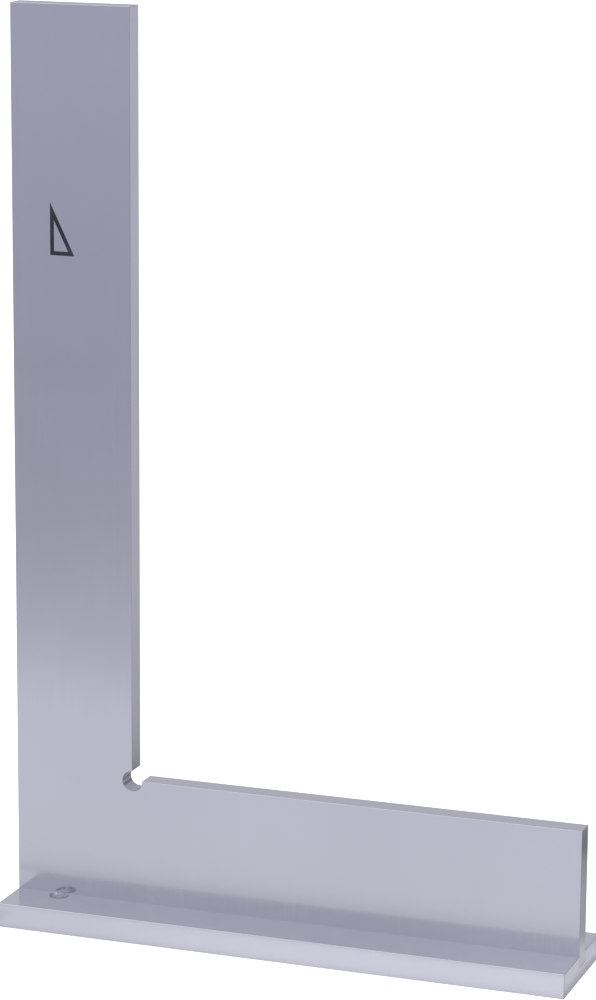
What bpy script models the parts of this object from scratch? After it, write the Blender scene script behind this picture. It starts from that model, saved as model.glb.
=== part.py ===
"""Engineer's back square, 200 x 130 mm, all steel.

An L-shaped blade of 5 mm ground plate stands in a groove along the middle of
a flat stop bar, so that the section across the stop is an inverted T.  Four
countersunk screws and two dowel pins come up through the web of the stop into
the lower edge of the blade.  One blow of a punch has staked the lip of the
groove against the blade near the heel.

Frame: metres, +Z up along the long leg, +X from the heel to the toe of the
short leg, origin at the centre of the underside of the stop.
"""
import math

import bmesh
import bpy

MM = 0.001

# ---------------------------------------------------------------- dimensions
BLADE_HEIGHT = 200.0 * MM      # long leg, outer length of the L
LENGTH = 130.0 * MM            # short leg, outer length of the L, and the stop
BLADE_T = 5.0 * MM             # plate thickness
LONG_LEG_W = 27.5 * MM         # width of the long leg
SHORT_LEG_W = 30.5 * MM        # width of the short leg, 2.5 mm of it in the groove

STOP_W = 28.0 * MM             # width of the stop, across the blade
STOP_H = 5.5 * MM              # thickness of the stop
SEAT_Z = 3.0 * MM              # height of the blade's lower edge
FIT_GAP = 0.3 * MM             # room kept between neighbouring solids

RELIEF_R = 2.25 * MM           # burr relief drilled at the inner corner
RELIEF_DX = 0.0 * MM           # its centre, measured from the inner corner
RELIEF_DZ = -0.2 * MM
RELIEF_SEG = 32

BLADE_CHAMFER = 0.25 * MM      # broken edges
STOP_CHAMFER = 0.4 * MM

SCREW_X = (-53.0 * MM, -18.0 * MM, 18.0 * MM, 53.0 * MM)
SCREW_LEN = 8.0 * MM           # M3 x 8 slotted countersunk
SCREW_R = 1.5 * MM
SCREW_HEAD_R = 2.75 * MM
SCREW_RIM = 0.3 * MM
SCREW_SUNK = 0.25 * MM         # head below the underside of the stop
SLOT_W = 0.8 * MM
SLOT_D = 0.7 * MM

DOWEL_X = (-35.5 * MM, 35.5 * MM)
DOWEL_LEN = 8.0 * MM           # parallel pin 3 x 8
DOWEL_R = 1.5 * MM
DOWEL_CHAMFER = 0.4 * MM
DOWEL_SUNK = 0.25 * MM

STAKE_X = -54.3 * MM           # punch mark that closes the groove on the blade
STAKE_Y = -4.6 * MM
STAKE_R = 1.9 * MM             # radius of the mark at the surface
STAKE_D = 0.50 * MM            # depth of the mark

TURN_STEPS = 32

# ------------------------------------------------------------ derived values
HALF_L = LENGTH / 2
HALF_T = BLADE_T / 2
TOP_Z = SEAT_Z + BLADE_HEIGHT
SHORT_TOP_Z = SEAT_Z + SHORT_LEG_W
INNER_X = -HALF_L + LONG_LEG_W


def clear_scene():
    for obj in list(bpy.data.objects):
        bpy.data.objects.remove(obj, do_unlink=True)
    for coll in list(bpy.data.collections):
        bpy.data.collections.remove(coll)


def make_collection(name):
    coll = bpy.data.collections.new(name)
    bpy.context.scene.collection.children.link(coll)
    return coll


def make_material(name, color, metallic, roughness):
    mat = bpy.data.materials.new(name)
    mat.use_nodes = True
    shader = mat.node_tree.nodes["Principled BSDF"]
    shader.inputs["Base Color"].default_value = (*color, 1.0)
    shader.inputs["Metallic"].default_value = metallic
    shader.inputs["Roughness"].default_value = roughness
    mat.diffuse_color = (*color, 1.0)
    return mat


def move_to(obj, coll):
    for old in list(obj.users_collection):
        old.objects.unlink(obj)
    coll.objects.link(obj)


def smooth(obj, degrees=35.0):
    obj.data.shade_smooth()
    obj.data.set_sharp_from_angle(angle=math.radians(degrees))


def box(name, coll, size, centre):
    bpy.ops.mesh.primitive_cube_add(size=1.0, location=centre)
    obj = bpy.context.object
    obj.name = name
    obj.data.name = name
    for v in obj.data.vertices:
        v.co.x *= size[0]
        v.co.y *= size[1]
        v.co.z *= size[2]
    move_to(obj, coll)
    return obj


def turned(name, coll, profile, location):
    """Turn a profile of (radius, z) points about the Z axis through location.

    The profile runs down the outer side, from the top centre to the bottom
    centre.
    """
    mesh = bpy.data.meshes.new(name)
    bm = bmesh.new()
    verts = [bm.verts.new((r, 0.0, z)) for r, z in profile]
    for a, b in zip(verts, verts[1:]):
        bm.edges.new((a, b))
    bm.to_mesh(mesh)
    bm.free()
    obj = bpy.data.objects.new(name, mesh)
    obj.location = location
    coll.objects.link(obj)
    spin = obj.modifiers.new("turn", 'SCREW')
    spin.axis = 'Z'
    spin.angle = 2 * math.pi
    spin.screw_offset = 0.0
    spin.steps = TURN_STEPS
    spin.render_steps = TURN_STEPS
    spin.use_merge_vertices = True
    spin.merge_threshold = 0.00001
    spin.use_smooth_shade = True
    return obj


def as_cutter(obj):
    obj.hide_render = True
    obj.display_type = 'WIRE'
    return obj


def cut(obj, cutter, name):
    mod = obj.modifiers.new(name, 'BOOLEAN')
    mod.operation = 'DIFFERENCE'
    mod.solver = 'EXACT'
    mod.object = cutter
    return mod


def baked_mesh(obj, name):
    """Evaluated mesh of obj, with coincident points joined."""
    depsgraph = bpy.context.evaluated_depsgraph_get()
    depsgraph.update()
    mesh = bpy.data.meshes.new_from_object(obj.evaluated_get(depsgraph))
    mesh.name = name
    bm = bmesh.new()
    bm.from_mesh(mesh)
    bmesh.ops.remove_doubles(bm, verts=bm.verts, dist=0.000002)
    bm.to_mesh(mesh)
    bm.free()
    return mesh


def blade_outline():
    """L outline with the round relief at the inner corner, as (x, z) points."""
    cx = INNER_X + RELIEF_DX
    cz = SHORT_TOP_Z + RELIEF_DZ
    # where the circle meets the long leg's inner edge and the short leg's top
    a_start = math.atan2(math.sqrt(RELIEF_R ** 2 - RELIEF_DX ** 2), -RELIEF_DX)
    a_end = math.atan2(-RELIEF_DZ, math.sqrt(RELIEF_R ** 2 - RELIEF_DZ ** 2))
    a_end += 2 * math.pi
    points = [(-HALF_L, SEAT_Z), (-HALF_L, TOP_Z), (INNER_X, TOP_Z)]
    for i in range(RELIEF_SEG + 1):
        a = a_start + (a_end - a_start) * i / RELIEF_SEG
        points.append((cx + RELIEF_R * math.cos(a), cz + RELIEF_R * math.sin(a)))
    points += [(HALF_L, SHORT_TOP_Z), (HALF_L, SEAT_Z)]
    return points


def make_blade(coll):
    curve = bpy.data.curves.new("blade_outline", 'CURVE')
    curve.dimensions = '2D'
    curve.fill_mode = 'BOTH'
    curve.extrude = HALF_T
    points = blade_outline()
    spline = curve.splines.new('POLY')
    spline.points.add(len(points) - 1)
    for point, (x, z) in zip(spline.points, points):
        point.co = (x, z, 0.0, 1.0)
    spline.use_cyclic_u = True
    plate = bpy.data.objects.new("blade_outline", curve)
    coll.objects.link(plate)
    # the outline is drawn flat and stood up, its face towards -Y
    plate.rotation_euler = (math.pi / 2, 0.0, 0.0)
    bpy.context.view_layer.update()
    mesh = baked_mesh(plate, "blade")
    blade = bpy.data.objects.new("blade", mesh)
    blade.matrix_world = plate.matrix_world.copy()
    coll.objects.link(blade)
    bpy.data.objects.remove(plate, do_unlink=True)
    bevel = blade.modifiers.new("broken_edges", 'BEVEL')
    bevel.width = BLADE_CHAMFER
    bevel.segments = 1
    bevel.limit_method = 'ANGLE'
    bevel.angle_limit = math.radians(50.0)
    return blade


def screw_profile():
    """Countersunk head down: (radius, z) from the tip of the shank downwards."""
    z0 = 0.0                                   # top of the head, facing down
    z1 = z0 + SCREW_RIM
    z2 = z1 + (SCREW_HEAD_R - SCREW_R)         # 90 degree countersink
    tip = z0 + SCREW_LEN
    point = 0.4 * MM
    return [(0.0, tip), (SCREW_R - point, tip), (SCREW_R, tip - point),
            (SCREW_R, z2), (SCREW_HEAD_R, z1), (SCREW_HEAD_R, z0), (0.0, z0)]


def screw_hole_profile():
    """Clearance for the screw, with the countersink, from the tip downwards."""
    rim = SCREW_HEAD_R + FIT_GAP
    neck = SCREW_R + FIT_GAP
    # keeps the 45 degree countersink FIT_GAP away from the head, square to it
    z_cone = SCREW_SUNK + SCREW_RIM + FIT_GAP * (math.sqrt(2.0) - 1.0)
    tip = SCREW_SUNK + SCREW_LEN + 2 * FIT_GAP
    below = -1.0 * MM
    return [(0.0, tip), (neck, tip), (neck, z_cone + (rim - neck)),
            (rim, z_cone), (rim, below), (0.0, below)]


def dowel_profile():
    c = DOWEL_CHAMFER
    return [(0.0, DOWEL_LEN), (DOWEL_R - c, DOWEL_LEN), (DOWEL_R, DOWEL_LEN - c),
            (DOWEL_R, c), (DOWEL_R - c, 0.0), (0.0, 0.0)]


def dowel_hole_profile():
    r = DOWEL_R + FIT_GAP
    tip = DOWEL_SUNK + DOWEL_LEN + 2 * FIT_GAP
    below = -1.0 * MM
    return [(0.0, tip), (r, tip), (r, below), (0.0, below)]


def main():
    clear_scene()
    parts = make_collection("try_square")
    cutters = make_collection("cutters")

    blade_steel = make_material("blade_steel", (0.47, 0.47, 0.56), 1.0, 0.28)
    stop_steel = make_material("stop_steel", (0.47, 0.47, 0.55), 1.0, 0.30)
    screw_steel = make_material("screw_steel", (0.30, 0.30, 0.33), 1.0, 0.38)
    dowel_steel = make_material("dowel_steel", (0.55, 0.55, 0.60), 1.0, 0.22)

    # ------------------------------------------------------------ cutters
    screw_cutters = []
    for i, x in enumerate(SCREW_X, 1):
        c = turned("screw_hole_%d" % i, cutters, screw_hole_profile(), (x, 0, 0))
        screw_cutters.append(as_cutter(c))
    dowel_cutters = []
    for i, x in enumerate(DOWEL_X, 1):
        c = turned("dowel_hole_%d" % i, cutters, dowel_hole_profile(), (x, 0, 0))
        dowel_cutters.append(as_cutter(c))
    groove = box("groove_cutter", cutters,
                 (LENGTH + 4 * MM, BLADE_T + 2 * FIT_GAP, STOP_H),
                 (0, 0, SEAT_Z - FIT_GAP + STOP_H / 2))
    as_cutter(groove)
    # ball-ended punch: the sphere whose cap has the mark's radius and depth
    ball_r = (STAKE_R ** 2 + STAKE_D ** 2) / (2 * STAKE_D)
    bpy.ops.mesh.primitive_uv_sphere_add(
        segments=24, ring_count=24, radius=ball_r,
        location=(STAKE_X, STAKE_Y, STOP_H - STAKE_D + ball_r))
    punch = bpy.context.object
    punch.name = "punch_mark"
    move_to(punch, cutters)
    as_cutter(punch)

    # -------------------------------------------------------------- blade
    blade = make_blade(parts)
    blade.data.materials.append(blade_steel)
    for c in screw_cutters + dowel_cutters:
        cut(blade, c, "hole_" + c.name)
    smooth(blade)

    # --------------------------------------------------------------- stop
    stop = box("stop_bar", parts, (LENGTH, STOP_W, STOP_H), (0, 0, STOP_H / 2))
    stop.data.materials.append(stop_steel)
    bevel = stop.modifiers.new("broken_edges", 'BEVEL')
    bevel.width = STOP_CHAMFER
    bevel.segments = 1
    bevel.limit_method = 'ANGLE'
    cut(stop, groove, "groove")
    for c in screw_cutters + dowel_cutters:
        cut(stop, c, "hole_" + c.name)
    cut(stop, punch, "punch_mark")
    smooth(stop)

    # ------------------------------------------------------------- screws
    pattern = turned("screw_pattern", cutters, screw_profile(), (0, 0, 0))
    slot = box("screw_slot", cutters,
               (SCREW_HEAD_R * 3, SLOT_W, SLOT_D * 2), (0, 0, 0))
    as_cutter(slot)
    cut(pattern, slot, "slot")
    bpy.context.view_layer.update()
    screw_mesh = baked_mesh(pattern, "stop_screw")
    screw_mesh.materials.append(screw_steel)
    bpy.data.objects.remove(pattern, do_unlink=True)
    bpy.data.objects.remove(slot, do_unlink=True)
    turns = (20.0, -35.0, 65.0, -5.0)          # where each slot came to rest
    for i, (x, turn) in enumerate(zip(SCREW_X, turns), 1):
        screw = bpy.data.objects.new("stop_screw_%d" % i, screw_mesh)
        screw.location = (x, 0.0, SCREW_SUNK)
        screw.rotation_euler = (0.0, 0.0, math.radians(turn))
        parts.objects.link(screw)
    screw_mesh.shade_smooth()
    screw_mesh.set_sharp_from_angle(angle=math.radians(35.0))

    # ------------------------------------------------------------- dowels
    for i, x in enumerate(DOWEL_X, 1):
        pin = turned("dowel_pin_%d" % i, parts, dowel_profile(),
                     (x, 0.0, DOWEL_SUNK))
        pin.data.materials.append(dowel_steel)


main()
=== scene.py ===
import math

import bmesh
import bpy
from mathutils import Matrix, Vector


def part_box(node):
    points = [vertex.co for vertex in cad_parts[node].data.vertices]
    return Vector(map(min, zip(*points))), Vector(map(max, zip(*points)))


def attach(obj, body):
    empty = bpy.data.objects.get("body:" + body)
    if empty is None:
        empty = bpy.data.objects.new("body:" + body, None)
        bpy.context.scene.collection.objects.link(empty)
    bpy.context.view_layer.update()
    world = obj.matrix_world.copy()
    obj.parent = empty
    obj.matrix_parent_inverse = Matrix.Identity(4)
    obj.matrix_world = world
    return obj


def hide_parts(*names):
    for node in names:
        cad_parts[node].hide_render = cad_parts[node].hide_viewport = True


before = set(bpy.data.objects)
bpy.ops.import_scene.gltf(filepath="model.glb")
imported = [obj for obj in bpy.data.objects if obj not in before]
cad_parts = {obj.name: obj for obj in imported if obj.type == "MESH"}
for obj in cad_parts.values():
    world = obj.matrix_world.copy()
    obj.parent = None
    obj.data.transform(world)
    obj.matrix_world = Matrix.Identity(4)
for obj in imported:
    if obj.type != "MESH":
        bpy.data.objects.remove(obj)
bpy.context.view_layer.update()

MM = 0.001
scene = bpy.context.scene

# ------------------------------------------------------------------ geometry
B_LO, B_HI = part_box("blade")
S_LO, S_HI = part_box("stop_bar")

LONG_LEG_W = 27.5 * MM
SHORT_LEG_W = 30.5 * MM
RELIEF_R, RELIEF_DX, RELIEF_DZ = 2.25 * MM, 0.0 * MM, -0.2 * MM
SCREW_R, SCREW_HEAD_R, SCREW_RIM = 1.5 * MM, 2.75 * MM, 0.3 * MM
SLOT_W, SLOT_D = 0.8 * MM, 0.7 * MM
DOWEL_R = 1.5 * MM
STAKE_X, STAKE_Y = -54.3 * MM, -4.6 * MM
STAKE_R, STAKE_D = 1.9 * MM, 0.5 * MM

INNER_X = B_LO.x + LONG_LEG_W
SHORT_TOP_Z = B_LO.z + SHORT_LEG_W


def new_object(name, mesh):
    obj = bpy.data.objects.new(name, mesh)
    scene.collection.objects.link(obj)
    return obj


def from_bmesh(name, bm):
    bmesh.ops.recalc_face_normals(bm, faces=bm.faces)
    mesh = bpy.data.meshes.new(name)
    bm.to_mesh(mesh)
    bm.free()
    return new_object(name, mesh)


def applied(obj, weld=0.0):
    """Replaces obj's mesh by its evaluated mesh and drops the modifiers."""
    bpy.context.view_layer.update()
    dg = bpy.context.evaluated_depsgraph_get()
    mesh = bpy.data.meshes.new_from_object(obj.evaluated_get(dg))
    old = obj.data
    obj.modifiers.clear()
    obj.data = mesh
    mesh.name = obj.name
    if old.users == 0:
        bpy.data.meshes.remove(old)
    if weld:
        bm = bmesh.new()
        bm.from_mesh(mesh)
        bmesh.ops.remove_doubles(bm, verts=bm.verts, dist=weld)
        bmesh.ops.dissolve_degenerate(bm, edges=bm.edges, dist=weld)
        bm.to_mesh(mesh)
        bm.free()
    return obj


def boolean(obj, cutter, operation='DIFFERENCE', slot_from_cutter=False):
    mod = obj.modifiers.new("bool", 'BOOLEAN')
    mod.operation = operation
    mod.solver = 'EXACT'
    mod.object = cutter
    if slot_from_cutter:
        mod.material_mode = 'TRANSFER'
    applied(obj)
    bpy.data.objects.remove(cutter, do_unlink=True)
    return obj


def bevel(obj, width, segments=3, angle=40.0, material=-1):
    mod = obj.modifiers.new("bevel", 'BEVEL')
    mod.width = width
    mod.segments = segments
    mod.limit_method = 'ANGLE'
    mod.angle_limit = math.radians(angle)
    mod.harden_normals = False
    mod.material = material
    mod.miter_outer = 'MITER_ARC' if segments > 1 else 'MITER_SHARP'
    return applied(obj)


def smooth(obj, degrees=30.0):
    obj.data.shade_smooth()
    obj.data.set_sharp_from_angle(angle=math.radians(degrees))


def weighted(obj):
    """Flat faces stay flat and the rounded edges blend into them."""
    obj.data.shade_smooth()
    mod = obj.modifiers.new("normals", 'WEIGHTED_NORMAL')
    mod.mode = 'FACE_AREA'
    mod.weight = 100
    mod.keep_sharp = True
    return obj


def cuboid(name, lo, hi):
    bm = bmesh.new()
    bmesh.ops.create_cube(bm, size=1.0)
    for v in bm.verts:
        for i in range(3):
            v.co[i] = lo[i] + (v.co[i] + 0.5) * (hi[i] - lo[i])
    return from_bmesh(name, bm)


def lathe(name, profile, steps=64, at=(0.0, 0.0, 0.0)):
    """Turns (radius, z) points, from the top down the outside to the bottom,
    about the vertical through at. An end off the axis gets a flat cap."""
    bm = bmesh.new()
    rings = []
    for r, z in profile:
        if r <= 1e-9:
            rings.append([bm.verts.new((at[0], at[1], at[2] + z))])
        else:
            rings.append([bm.verts.new((at[0] + r * math.cos(2 * math.pi * i / steps),
                                        at[1] + r * math.sin(2 * math.pi * i / steps),
                                        at[2] + z)) for i in range(steps)])
    for a, b in zip(rings, rings[1:]):
        for i in range(steps):
            j = (i + 1) % steps
            ring = [a[i % len(a)], a[j % len(a)], b[j % len(b)], b[i % len(b)]]
            face = []
            for v in ring:
                if v not in face:
                    face.append(v)
            if len(face) > 2:
                bm.faces.new(face)
    for end in (rings[0], rings[-1]):
        if len(end) > 1:
            bm.faces.new(end)
    return from_bmesh(name, bm)


def screw_nodes():
    return sorted(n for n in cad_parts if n.startswith("stop_screw"))


def dowel_nodes():
    return sorted(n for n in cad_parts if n.startswith("dowel_pin"))


def centre_x(node):
    lo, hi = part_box(node)
    return (lo.x + hi.x) / 2


# ----------------------------------------------------------------- materials
class Nodes:
    """Small helper to write node trees in few lines."""

    def __init__(self, tree):
        self.tree = tree

    def add(self, kind, **values):
        node = self.tree.nodes.new(kind)
        for key, value in values.items():
            setattr(node, key, value)
        return node

    def link(self, a, b):
        self.tree.links.new(a, b)

    def value(self, socket, source):
        if hasattr(source, "is_output"):
            self.link(source, socket)
        else:
            socket.default_value = source

    def math(self, operation, a, b=0.5, c=None, clamp=False):
        node = self.add('ShaderNodeMath', operation=operation, use_clamp=clamp)
        self.value(node.inputs[0], a)
        self.value(node.inputs[1], b)
        if c is not None:
            self.value(node.inputs[2], c)
        return node.outputs[0]

    def map_range(self, value, a, b, c, d, smooth=False):
        node = self.add('ShaderNodeMapRange')
        if smooth:
            node.interpolation_type = 'SMOOTHSTEP'
        self.value(node.inputs['Value'], value)
        node.inputs['From Min'].default_value = a
        node.inputs['From Max'].default_value = b
        node.inputs['To Min'].default_value = c
        node.inputs['To Max'].default_value = d
        return node.outputs[0]

    def noise(self, vector, scale, detail=2.0, roughness=0.5):
        node = self.add('ShaderNodeTexNoise')
        self.link(vector, node.inputs['Vector'])
        node.inputs['Scale'].default_value = scale
        node.inputs['Detail'].default_value = detail
        node.inputs['Roughness'].default_value = roughness
        return node.outputs[0]

    def scaled(self, vector, scale, offset=(0, 0, 0), rotation=(0, 0, 0)):
        node = self.add('ShaderNodeMapping')
        self.link(vector, node.inputs['Vector'])
        node.inputs['Scale'].default_value = scale
        node.inputs['Location'].default_value = offset
        node.inputs['Rotation'].default_value = rotation
        return node.outputs[0]

    def mix(self, factor, a, b):
        node = self.add('ShaderNodeMix', data_type='RGBA')
        self.value(node.inputs[0], factor)
        self.value(node.inputs[6], a)
        self.value(node.inputs[7], b)
        return node.outputs[2]


def start_material(name, metallic=1.0):
    mat = bpy.data.materials.new(name)
    mat.use_nodes = True
    n = Nodes(mat.node_tree)
    shader = mat.node_tree.nodes["Principled BSDF"]
    shader.inputs["Metallic"].default_value = metallic
    return mat, n, shader


def ground_steel(name, base, rough, grain="z", grain_bump=0.55, streak=0.03,
                 smudge=0.04, tone=0.03, metallic=1.0):
    """Surface-ground steel: fine parallel grinding lines along one axis, with
    slow changes of tone and faint oil smudges."""
    mat, n, shader = start_material(name, metallic)
    coord = n.add('ShaderNodeTexCoord').outputs['Object']
    # 1/m scales: long along the grain, a few lines per tenth of a mm across it
    across, along = 9000.0, 55.0
    grain_scale = {"x": (along, across, across), "z": (across, across, along)}[grain]
    fine = n.noise(n.scaled(coord, grain_scale), 1.0, 2.0, 0.6)
    mid_scale = tuple(s * 0.22 for s in grain_scale)
    mid = n.noise(n.scaled(coord, mid_scale, (3.1, 7.7, 1.3)), 1.0, 3.0, 0.6)
    broad = n.noise(n.scaled(coord, (1, 1, 1), (0.31, 0.17, 0.53)), 26.0, 3.0, 0.55)
    cloud = n.noise(n.scaled(coord, (1, 1, 1), (0.71, 0.37, 0.11)), 95.0, 4.0, 0.6)

    # colour: base, a little darker or lighter in slow patches and lines
    dark = tuple(c * (1.0 - tone) for c in base) + (1.0,)
    light = tuple(min(1.0, c * (1.0 + tone)) for c in base) + (1.0,)
    tone_mask = n.math('ADD', n.math('MULTIPLY', n.map_range(broad, 0.3, 0.7, 0, 1), 0.75),
                       n.math('MULTIPLY', n.map_range(mid, 0.25, 0.75, 0, 1), 0.25))
    n.link(n.mix(tone_mask, dark, light), shader.inputs['Base Color'])

    # roughness: lines and smudges
    r = n.math('ADD', rough - streak / 2 - smudge / 2,
               n.math('MULTIPLY', n.map_range(mid, 0.25, 0.75, 0, 1), streak))
    r = n.math('ADD', r, n.math('MULTIPLY', n.map_range(cloud, 0.45, 0.75, 0, 1), smudge))
    r = n.math('ADD', r, n.math('MULTIPLY', n.map_range(fine, 0.3, 0.7, -1, 1), 0.03))
    n.link(r, shader.inputs['Roughness'])

    bump = n.add('ShaderNodeBump')
    bump.inputs['Strength'].default_value = grain_bump
    bump.inputs['Distance'].default_value = 0.000002
    height = n.math('ADD', n.math('MULTIPLY', fine, 0.6), n.math('MULTIPLY', mid, 0.8))
    n.link(height, bump.inputs['Height'])
    n.link(bump.outputs['Normal'], shader.inputs['Normal'])
    return mat


def worked_steel(name, base, rough, scale=2500.0, bump_mm=0.002, tone=0.15):
    """Drilled, punched or filed steel: dull, with an even fine tooth."""
    mat, n, shader = start_material(name)
    coord = n.add('ShaderNodeTexCoord').outputs['Object']
    tooth = n.noise(coord, scale, 3.0, 0.6)
    patch = n.noise(coord, scale * 0.12, 3.0, 0.6)
    dark = tuple(c * (1.0 - tone) for c in base) + (1.0,)
    light = tuple(min(1.0, c * (1.0 + tone)) for c in base) + (1.0,)
    n.link(n.mix(n.map_range(patch, 0.3, 0.7, 0, 1), dark, light), shader.inputs['Base Color'])
    n.link(n.map_range(tooth, 0.3, 0.7, rough - 0.06, rough + 0.06), shader.inputs['Roughness'])
    bump = n.add('ShaderNodeBump')
    bump.inputs['Strength'].default_value = 0.5
    bump.inputs['Distance'].default_value = bump_mm * MM
    n.link(tooth, bump.inputs['Height'])
    n.link(bump.outputs['Normal'], shader.inputs['Normal'])
    return mat


def turned_steel(name, base, rough, axis_x):
    """Turned screw or pin: concentric tool marks about the axis at axis_x."""
    mat, n, shader = start_material(name)
    obj_coord = n.add('ShaderNodeTexCoord').outputs['Object']
    sep = n.add('ShaderNodeSeparateXYZ')
    n.link(obj_coord, sep.inputs[0])
    off, across = n.math('SUBTRACT', sep.outputs[0], axis_x), sep.outputs[1]
    radius = n.math('SQRT', n.math('ADD', n.math('MULTIPLY', off, off),
                                   n.math('MULTIPLY', across, across)))
    rings = n.add('ShaderNodeTexNoise', noise_dimensions='1D')
    n.link(n.math('MULTIPLY', radius, 9000.0), rings.inputs['W'])
    rings.inputs['Scale'].default_value = 1.0
    rings.inputs['Detail'].default_value = 3.0
    patch = n.noise(obj_coord, 420.0, 3.0, 0.6)
    dark = tuple(c * 0.8 for c in base) + (1.0,)
    light = tuple(min(1.0, c * 1.15) for c in base) + (1.0,)
    n.link(n.mix(n.map_range(patch, 0.3, 0.7, 0, 1), dark, light), shader.inputs['Base Color'])
    n.link(n.map_range(rings.outputs[0], 0.3, 0.7, rough - 0.06, rough + 0.08),
           shader.inputs['Roughness'])
    bump = n.add('ShaderNodeBump')
    bump.inputs['Strength'].default_value = 0.5
    bump.inputs['Distance'].default_value = 0.000006
    n.link(rings.outputs[0], bump.inputs['Height'])
    n.link(bump.outputs['Normal'], shader.inputs['Normal'])
    return mat


BLADE_BASE = (0.474, 0.474, 0.522)
STOP_BASE = (0.500, 0.500, 0.550)

blade_ground = ground_steel("blade_ground", BLADE_BASE, 0.17, "z")
blade_edge = ground_steel("blade_broken_edge", (0.43, 0.43, 0.475), 0.26, "z", streak=0.05)
relief_wall = worked_steel("relief_wall", (0.37, 0.365, 0.41), 0.22, bump_mm=0.0012, tone=0.08)
stop_ground = ground_steel("stop_ground", STOP_BASE, 0.17, "x", metallic=0.82)
stop_edge = ground_steel("stop_broken_edge", (0.45, 0.45, 0.495), 0.30, "x", streak=0.05,
                         metallic=0.9)
punched = worked_steel("punched_steel", (0.30, 0.30, 0.335), 0.20, scale=1500.0, bump_mm=0.008)
drilled = worked_steel("drilled_steel", (0.25, 0.25, 0.28), 0.40)
etched = worked_steel("etched_mark", (0.050, 0.050, 0.062), 0.50, tone=0.3)


# --------------------------------------------------------------------- blade
def blade_outline():
    cx, cz = INNER_X + RELIEF_DX, SHORT_TOP_Z + RELIEF_DZ
    a0 = math.atan2(math.sqrt(RELIEF_R ** 2 - RELIEF_DX ** 2), -RELIEF_DX)
    a1 = math.atan2(-RELIEF_DZ, math.sqrt(RELIEF_R ** 2 - RELIEF_DZ ** 2)) + 2 * math.pi
    points = [(B_LO.x, B_LO.z), (B_LO.x, B_HI.z), (INNER_X, B_HI.z)]
    steps = 72
    arc = [(cx + RELIEF_R * math.cos(a0 + (a1 - a0) * i / steps),
            cz + RELIEF_R * math.sin(a0 + (a1 - a0) * i / steps)) for i in range(steps + 1)]
    points += arc
    points += [(B_HI.x, SHORT_TOP_Z), (B_HI.x, B_LO.z)]
    return points, range(3, 3 + steps)


def make_blade():
    points, arc_sides = blade_outline()
    bm = bmesh.new()
    front = [bm.verts.new((x, B_LO.y, z)) for x, z in points]
    rear = [bm.verts.new((x, B_HI.y, z)) for x, z in points]
    bm.faces.new(front)
    bm.faces.new(list(reversed(rear)))
    count = len(points)
    for i in range(count):
        j = (i + 1) % count
        side = bm.faces.new((front[i], rear[i], rear[j], front[j]))
        side.material_index = 2 if i in arc_sides else 0
    obj = from_bmesh("blade_plate", bm)
    for mat in (blade_ground, blade_edge, relief_wall):
        obj.data.materials.append(mat)
    bevel(obj, 0.34 * MM, segments=3, angle=50.0, material=1)

    # plain etched mark: the outline of a drafting triangle
    mark = set_square_outline("mark", (B_LO.x + 8.9 * MM, B_LO.z + 146.2 * MM), 5.6 * MM, 11.5 * MM,
                              0.90 * MM, B_LO.y - 0.5 * MM, B_LO.y + 0.04 * MM)
    obj.data.materials.append(etched)
    mark.data.materials.append(etched)
    boolean(obj, mark, slot_from_cutter=True)

    # blind holes in the lower edge, for the screws and the pins
    for node in screw_nodes() + dowel_nodes():
        lo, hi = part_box(node)
        r, c = SCREW_R + 0.02 * MM, 0.15 * MM
        end = hi.z + 0.3 * MM
        hole = lathe("hole", [(0, end + 0.6 * r), (r, end), (r, B_LO.z + c),
                              (r + c + 0.5 * MM, B_LO.z - 0.5 * MM), (0, B_LO.z - 0.5 * MM)],
                     64, (centre_x(node), 0, 0))
        hole.data.materials.append(drilled)
        boolean(obj, hole, slot_from_cutter=True)
    applied(obj, weld=0.002 * MM)
    smooth(obj, 40.0)
    weighted(obj)
    applied(obj)
    return obj


def set_square_outline(name, corner, wide, high, line, y0, y1):
    """A right triangle with a triangular window, standing in the XZ plane."""
    (x, z), slope = corner, math.hypot(wide, high)
    inset_w = wide - line - line * (slope + wide) / high
    inset_h = high - line - line * (slope + high) / wide
    outer = [(x, z), (x + wide, z), (x, z + high)]
    inner = [(x + line, z + line), (x + line + inset_w, z + line), (x + line, z + line + inset_h)]
    bm = bmesh.new()
    rows = [[bm.verts.new((px, y, pz)) for px, pz in pts] for pts in (outer, inner) for y in (y0, y1)]
    (of, ob, nf, nb) = rows
    for i in range(3):
        j = (i + 1) % 3
        bm.faces.new((of[i], of[j], ob[j], ob[i]))
        bm.faces.new((nf[i], nb[i], nb[j], nf[j]))
        bm.faces.new((of[i], nf[i], nf[j], of[j]))
        bm.faces.new((ob[i], ob[j], nb[j], nb[i]))
    return from_bmesh(name, bm)


blade = make_blade()


# ---------------------------------------------------------------------- stop
def torus(name, centre, major, minor, steps=96, sides=24):
    bm = bmesh.new()
    rings = []
    for i in range(steps):
        a = 2 * math.pi * i / steps
        ring = []
        for k in range(sides):
            b = 2 * math.pi * k / sides
            r = major + minor * math.cos(b)
            ring.append(bm.verts.new((centre[0] + r * math.cos(a), centre[1] + r * math.sin(a),
                                      centre[2] + minor * math.sin(b))))
        rings.append(ring)
    for i in range(steps):
        a, b = rings[i], rings[(i + 1) % steps]
        for k in range(sides):
            m = (k + 1) % sides
            bm.faces.new((a[k], b[k], b[m], a[m]))
    return from_bmesh(name, bm)


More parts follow.
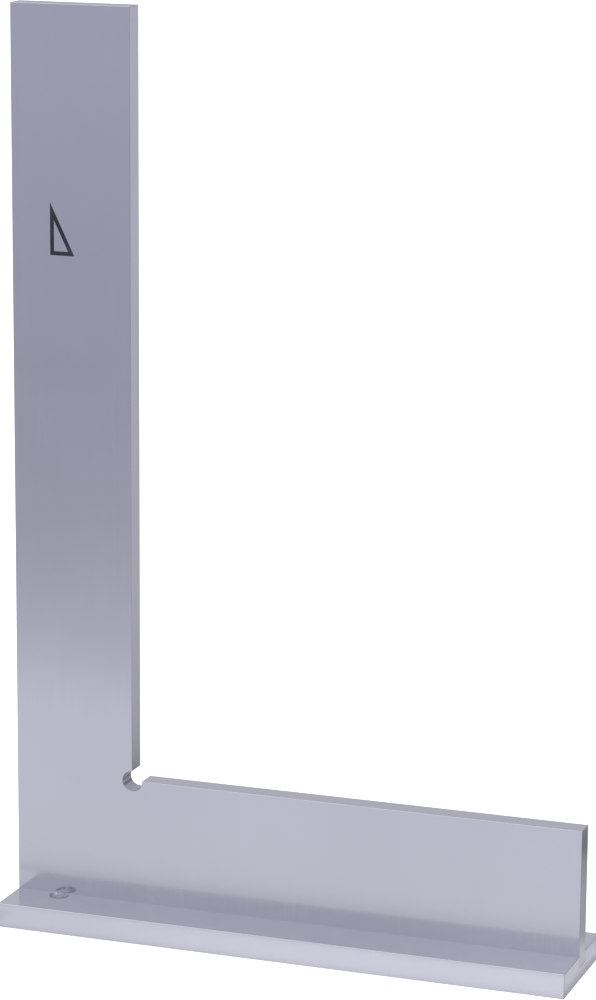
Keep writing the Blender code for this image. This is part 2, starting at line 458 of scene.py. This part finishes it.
def make_stop():
    obj = cuboid("stop_plate", S_LO, S_HI)
    for mat in (stop_ground, stop_edge, punched, drilled):
        obj.data.materials.append(mat)
    bevel(obj, 0.20 * MM, segments=3, angle=40.0, material=1)

    # metal thrown up round the punch mark, then the mark itself: one deep blow
    # and a few lighter ones at its edge
    sink = 0.30 * MM
    ring = torus("ring", (STAKE_X, STAKE_Y, S_HI.z - sink), STAKE_R + 0.12 * MM, 0.38 * MM)
    ring.data.materials.append(punched)
    boolean(obj, ring, 'UNION', slot_from_cutter=True)
    blows = [(0.0, 0.0, STAKE_R, STAKE_D)]
    for dx, dy, radius, depth in ((-1.35, 0.55, 1.05, 0.42), (1.20, 0.80, 0.85, 0.24), (0.40, -1.25, 0.80, 0.42),
                                  (-1.00, -0.95, 0.60, 0.30)):
        blows.append((dx * MM, dy * MM, radius * MM, depth * MM))
    for dx, dy, radius, depth in blows:
        ball_r = (radius ** 2 + depth ** 2) / (2 * depth)
        bm = bmesh.new()
        bmesh.ops.create_uvsphere(
            bm, u_segments=72, v_segments=96, radius=ball_r,
            matrix=Matrix.Translation((STAKE_X + dx, STAKE_Y + dy, S_HI.z - depth + ball_r)))
        ball = from_bmesh("ball", bm)
        ball.data.materials.append(punched)
        boolean(obj, ball, slot_from_cutter=True)

    # groove for the blade
    g = 0.015 * MM
    groove = cuboid("groove", (S_LO.x - 2 * MM, B_LO.y - g, B_LO.z - g),
                    (S_HI.x + 2 * MM, B_HI.y + g, S_HI.z + 3 * MM))
    groove.data.materials.append(stop_ground)
    boolean(obj, groove, slot_from_cutter=True)

    for node in screw_nodes():
        lo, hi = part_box(node)
        x = centre_x(node)
        rim = SCREW_HEAD_R + 0.05 * MM
        neck = SCREW_R + 0.10 * MM
        top = hi.z + 0.2 * MM
        z1 = lo.z + SCREW_RIM + 0.03 * MM
        c = 0.12 * MM
        hole = lathe("hole", [(0, top), (neck, top), (neck, z1 + rim - neck), (rim, z1),
                              (rim, c), (rim + c + 0.5 * MM, -0.5 * MM), (0, -0.5 * MM)],
                     64, (x, 0, 0))
        hole.data.materials.append(drilled)
        boolean(obj, hole, slot_from_cutter=True)
    for node in dowel_nodes():
        lo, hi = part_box(node)
        x = centre_x(node)
        r = DOWEL_R + 0.02 * MM
        c = 0.15 * MM
        hole = lathe("hole", [(0, hi.z + 0.1 * MM), (r, hi.z + 0.1 * MM), (r, c),
                              (r + c + 0.5 * MM, -0.5 * MM), (0, -0.5 * MM)],
                     64, (x, 0, 0))
        hole.data.materials.append(drilled)
        boolean(obj, hole, slot_from_cutter=True)
    applied(obj, weld=0.002 * MM)
    smooth(obj, 28.0)
    weighted(obj)
    applied(obj)
    return obj


stop = make_stop()


# ---------------------------------------------------------- screws and pins
def make_screw(node, turn):
    """Slotted countersunk screw, head down, made on the axis and then placed."""
    lo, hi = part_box(node)
    x, tip = centre_x(node), hi.z - lo.z
    e, p = 0.06 * MM, 0.4 * MM
    z1 = SCREW_RIM
    z2 = z1 + SCREW_HEAD_R - SCREW_R
    outline = [(SCREW_R - p, tip), (SCREW_R, tip - p), (SCREW_R, z2 + e),
               (SCREW_R + 0.4 * e, z2 + 0.2 * e), (SCREW_HEAD_R - e, z1 + e),
               (SCREW_HEAD_R - 0.2 * e, z1 + 0.3 * e), (SCREW_HEAD_R, z1 - 0.3 * e),
               (SCREW_HEAD_R, 1.2 * e), (SCREW_HEAD_R - 0.35 * e, 0.35 * e), (SCREW_HEAD_R - 1.2 * e, 0)]
    obj = lathe(node + "_detail", outline, 64)

    # the slot, its lips broken
    half, lip, out = SLOT_W / 2, 0.05 * MM, 0.25 * MM
    section = [(-half - lip - out, -out), (half + lip + out, -out), (half, lip), (half, SLOT_D),
               (-half, SLOT_D), (-half, lip)]
    bm = bmesh.new()
    reach = SCREW_HEAD_R * 1.5
    ends = [[bm.verts.new((x_end, y, z)) for y, z in section] for x_end in (-reach, reach)]
    bm.faces.new(ends[0])
    bm.faces.new(ends[1])
    for i in range(len(section)):
        j = (i + 1) % len(section)
        bm.faces.new((ends[0][i], ends[1][i], ends[1][j], ends[0][j]))
    boolean(obj, from_bmesh("slot", bm))
    obj.data.transform(Matrix.Translation((x, 0, lo.z)) @ Matrix.Rotation(turn, 4, 'Z'))
    obj.data.materials.clear()
    obj.data.materials.append(turned_steel(node + "_steel", (0.30, 0.30, 0.33), 0.34, x))
    applied(obj, weld=0.002 * MM)
    smooth(obj, 28.0)
    weighted(obj)
    applied(obj)
    return obj


def make_dowel(node):
    lo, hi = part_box(node)
    x = centre_x(node)
    c, r = 0.4 * MM, DOWEL_R
    crown = 0.12 * MM
    outline = [(0, hi.z)]
    for t in (0.35, 0.7, 1.0):
        outline.append(((r - c) * t, hi.z - crown * t * t))
    outline += [(r, hi.z - c - 0.05 * MM), (r, lo.z + c + 0.05 * MM)]
    for t in (1.0, 0.7, 0.35):
        outline.append(((r - c) * t, lo.z + crown * t * t))
    outline.append((0, lo.z))
    obj = lathe(node + "_detail", outline, 64, (x, 0, 0))
    obj.data.materials.append(turned_steel(node + "_steel", (0.55, 0.55, 0.60), 0.20, x))
    smooth(obj, 28.0)
    return obj


pieces = {"blade": blade, "stop_bar": stop}
for node, turn in zip(screw_nodes(), (20.0, -35.0, 65.0, -5.0)):
    pieces[node] = make_screw(node, math.radians(turn))
for node in dowel_nodes():
    pieces[node] = make_dowel(node)

for node, obj in pieces.items():
    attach(obj, "root")
    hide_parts(node)

# --------------------------------------------------------------------- stage
floor = cuboid("floor", (-6, -6, -0.002), (6, 6, 0.0))
mat = bpy.data.materials.new("pale_floor")
mat.use_nodes = True
n = Nodes(mat.node_tree)
mat.node_tree.nodes.clear()
out = n.add('ShaderNodeOutputMaterial')
pos = n.add('ShaderNodeTexCoord').outputs['Object']
sep = n.add('ShaderNodeSeparateXYZ')
n.link(pos, sep.inputs[0])
px, py = sep.outputs[0], sep.outputs[1]
# distance from the blade's line and from the footprint, and how far round to
# the front a place on the floor is
side = n.math('MAXIMUM', n.math('SUBTRACT', n.math('ABSOLUTE', px), B_HI.x), 0.0)
beside = n.math('MAXIMUM', n.math('SUBTRACT', n.math('ABSOLUTE', py), S_HI.y), 0.0)
dist = n.math('SQRT', n.math('ADD', n.math('MULTIPLY', side, side), n.math('MULTIPLY', py, py)))
foot = n.math('SQRT', n.math('ADD', n.math('MULTIPLY', side, side), n.math('MULTIPLY', beside, beside)))
facing = n.math('DIVIDE', n.math('MULTIPLY', py, -1.0), n.math('MAXIMUM', dist, 0.0005))


def log_place(d):
    """Distance in metres, 5 mm to 5 m on a log scale, as 0..1."""
    return min(1.0, max(0.0, math.log10(d / 0.005) / 3.0))


def place_of(distance):
    scaled = n.math('MAXIMUM', n.math('MULTIPLY', distance, 200.0), 1.0)
    return n.math('DIVIDE', n.math('LOGARITHM', scaled, 10.0), 3.0)


def profile(distance, points):
    """Brightness of the floor against distance: (metres, value, blueness)."""
    ramp = n.add('ShaderNodeValToRGB')
    els = ramp.color_ramp.elements
    for i, (d, v, blue) in enumerate(points):
        if i == 0:
            e = els[0]
        elif i == len(points) - 1:
            e = els[len(els) - 1]
        else:
            e = els.new(log_place(d))
        e.position = log_place(d)
        e.color = (v, v * 0.992, v * blue, 1)
    n.link(place_of(distance), ramp.inputs[0])
    return ramp.outputs[0]


# in front, seen only by glossy rays, a painted reflection: dimmer up to 13 mm as painted
# contact shade by the stop, a painted pool of light out to 29 mm, a painted line of shade
# at 30 mm, then even and bright out to 0.19 m and darker beyond it
front = profile(n.math('MULTIPLY', py, -1.0),
                [(0.013, 0.90, 1.06), (0.0180, 1.18, 1.06), (0.0285, 1.21, 1.06), (0.0300, 0.68, 1.06),
                 (0.0335, 0.97, 1.06), (0.040, 1.045, 1.07), (0.182, 1.05, 1.08), (0.202, 0.88, 1.10),
                 (0.25, 0.765, 1.11), (0.32, 0.69, 1.12), (0.465, 0.615, 1.15), (0.672, 0.592, 1.20),
                 (1.00, 0.63, 1.20), (1.80, 0.68, 1.20)])
# behind, seen only by glossy rays: a painted shadow of the square, dim close behind, darkest 90 to 102 mm back,
# lighter further off
rear = profile(dist,
               [(0.004, 0.56, 1.05), (0.060, 0.51, 1.05), (0.080, 0.42, 1.05), (0.090, 0.27, 1.04),
                (0.102, 0.27, 1.04), (0.118, 0.54, 1.03), (0.165, 0.66, 1.03), (0.583, 0.72, 1.07),
                (1.073, 0.77, 1.08)])
sides = (0.60, 0.595, 0.64, 1)
near = (0.78, 0.775, 0.825, 1)
w_front = n.map_range(facing, 0.20, 0.60, 0.0, 1.0, smooth=True)
w_rear = n.map_range(facing, -0.55, -0.85, 0.0, 1.0, smooth=True)
past_toe = n.map_range(n.math('SUBTRACT', px, B_HI.x), -0.0002, 0.0002, 0.0, 1.0)
past_heel = n.map_range(n.math('SUBTRACT', n.math('MULTIPLY', px, -1.0), B_HI.x), 0.0, 0.003, 0.0, 1.0,
                        smooth=True)
# painted contact shadow: past the toe and heel the floor is dimmer within 16 mm of the foot and darkest within 2
# mm of it, for glossy rays only
w_near = n.math('MULTIPLY', n.map_range(foot, 0.004, 0.016, 1.0, 0.0, smooth=True),
                n.math('MAXIMUM', past_toe, past_heel))
near = n.mix(n.map_range(foot, 0.0004, 0.0022, 0.0, 1.0, smooth=True), (0.50, 0.50, 0.53, 1), near)
# painted shade: the front floor within 30 mm darker towards the heel, by up to 13 %
w_heel = n.math('MULTIPLY', n.map_range(px, -0.060, 0.010, 0.13, 0.0),
                n.map_range(n.math('MULTIPLY', py, -1.0), 0.029, 0.031, 1.0, 0.0))
front = n.mix(w_heel, front, (0, 0, 0, 1))
# all of the above is painted reflection: the floor gives it off as emission to glossy rays
tone = n.mix(w_near, n.mix(w_rear, n.mix(w_front, sides, front), rear), near)
painted_reflection = n.add('ShaderNodeEmission')
n.link(tone, painted_reflection.inputs['Color'])
paper = n.add('ShaderNodeBsdfDiffuse')
paper.inputs['Color'].default_value = (0.8, 0.8, 0.8, 1)
glow = n.add('ShaderNodeEmission')
glow.inputs['Color'].default_value = (1, 1, 1, 1)
glow.inputs['Strength'].default_value = 0.62
both = n.add('ShaderNodeAddShader')
n.link(paper.outputs[0], both.inputs[0])
n.link(glow.outputs[0], both.inputs[1])
# camera and other rays see the plain pale floor, glossy rays the painted reflection
path = n.add('ShaderNodeLightPath')
pick = n.add('ShaderNodeMixShader')
n.link(path.outputs['Is Glossy Ray'], pick.inputs[0])
n.link(both.outputs[0], pick.inputs[1])
n.link(painted_reflection.outputs[0], pick.inputs[2])
n.link(pick.outputs[0], out.inputs['Surface'])
floor.data.materials.append(mat)

world = bpy.data.worlds.new("studio")
scene.world = world
world.use_nodes = True
n = Nodes(world.node_tree)
world.node_tree.nodes.clear()
out = n.add('ShaderNodeOutputWorld')
direction = n.add('ShaderNodeTexCoord').outputs['Generated']
sep = n.add('ShaderNodeSeparateXYZ')
n.link(direction, sep.inputs[0])
dx, dy, dz = sep.outputs
# brighter to the front above the horizon, darker to the left and behind, most of all low behind; an even pale
# room above
front = n.map_range(dy, -0.4, -0.9, 0.0, 1.0, smooth=True)
up = n.map_range(dz, 0.05, 0.30, 0.0, 1.0, smooth=True)
v = n.math('ADD', 0.80, n.math('MULTIPLY', n.math('MULTIPLY', front, up), 0.36))
left = n.map_range(dx, -0.75, -0.98, 0.0, 1.0, smooth=True)
v = n.math('SUBTRACT', v, n.math('MULTIPLY', left, 0.30))
behind = n.map_range(dy, 0.3, 0.8, 0.0, 1.0, smooth=True)
v = n.math('SUBTRACT', v, n.math('MULTIPLY', behind, 0.07))
low = n.map_range(dz, 0.08, 0.20, 1.0, 0.0, smooth=True)
v = n.math('SUBTRACT', v, n.math('MULTIPLY', n.math('MULTIPLY', behind, low), 0.26))
corner = n.map_range(dx, 0.08, 0.28, 0.0, 1.0, smooth=True)
corner = n.math('MULTIPLY', corner, n.map_range(dz, 0.20, 0.27, 1.0, 0.0, smooth=True))
v = n.math('SUBTRACT', v, n.math('MULTIPLY', n.math('MULTIPLY', behind, corner), 0.26))
bg = n.add('ShaderNodeBackground')
comb = n.add('ShaderNodeCombineColor')
for i, tint in enumerate((1.0, 0.992, 1.08)):
    n.link(n.math('MULTIPLY', v, tint), comb.inputs[i])
n.link(comb.outputs[0], bg.inputs['Color'])
white = n.add('ShaderNodeBackground')
white.inputs['Color'].default_value = (1, 1, 1, 1)
white.inputs['Strength'].default_value = 1.0
path = n.add('ShaderNodeLightPath')
pick = n.add('ShaderNodeMixShader')
n.link(path.outputs['Is Camera Ray'], pick.inputs[0])
n.link(bg.outputs[0], pick.inputs[1])
n.link(white.outputs[0], pick.inputs[2])
n.link(pick.outputs[0], out.inputs['Surface'])


def soft_light(name, at, target, size, power):
    light = bpy.data.lights.new(name, 'AREA')
    light.shape = 'RECTANGLE'
    light.size, light.size_y = size
    light.energy = power
    obj = bpy.data.objects.new(name, light)
    obj.location = at
    obj.rotation_euler = (Vector(target) - Vector(at)).to_track_quat('-Z', 'Y').to_euler()
    scene.collection.objects.link(obj)
    return obj


soft_light("key_softbox", (-0.55, -0.75, 1.25), (0, 0, 0.08), (1.6, 1.6), 8.0)
soft_light("fill_softbox", (0.9, 0.5, 1.1), (0, 0, 0.08), (1.2, 1.2), 4.0)

# -------------------------------------------------------------------- camera
AZ, EL, ROLL = math.radians(19.64), math.radians(12.48), math.radians(0.40)
TX, TY, D, F = -61.8, -91.8, 811.2, 3599.4
back = Vector((math.sin(AZ) * math.cos(EL), -math.cos(AZ) * math.cos(EL), math.sin(EL)))
right = Vector((0, 0, 1)).cross(back).normalized()
upward = back.cross(right)
c, s = math.cos(ROLL), math.sin(ROLL)
x2 = c * right + s * upward
y2 = -s * right + c * upward
rot = Matrix((x2, y2, back)).transposed()
eye = (rot @ Vector((-TX, -TY, D))) * MM
eye.x += S_LO.x
cam_data = bpy.data.cameras.new("camera")
cam_data.sensor_width = 36.0
cam_data.lens = F / 1000.0 * 36.0
cam_data.clip_start = 0.01
cam_data.clip_end = 50.0
camera = bpy.data.objects.new("camera", cam_data)
camera.matrix_world = Matrix.Translation(eye) @ rot.to_4x4()
scene.collection.objects.link(camera)
scene.camera = camera

scene.view_settings.view_transform = 'Standard'
scene.view_settings.look = 'None'
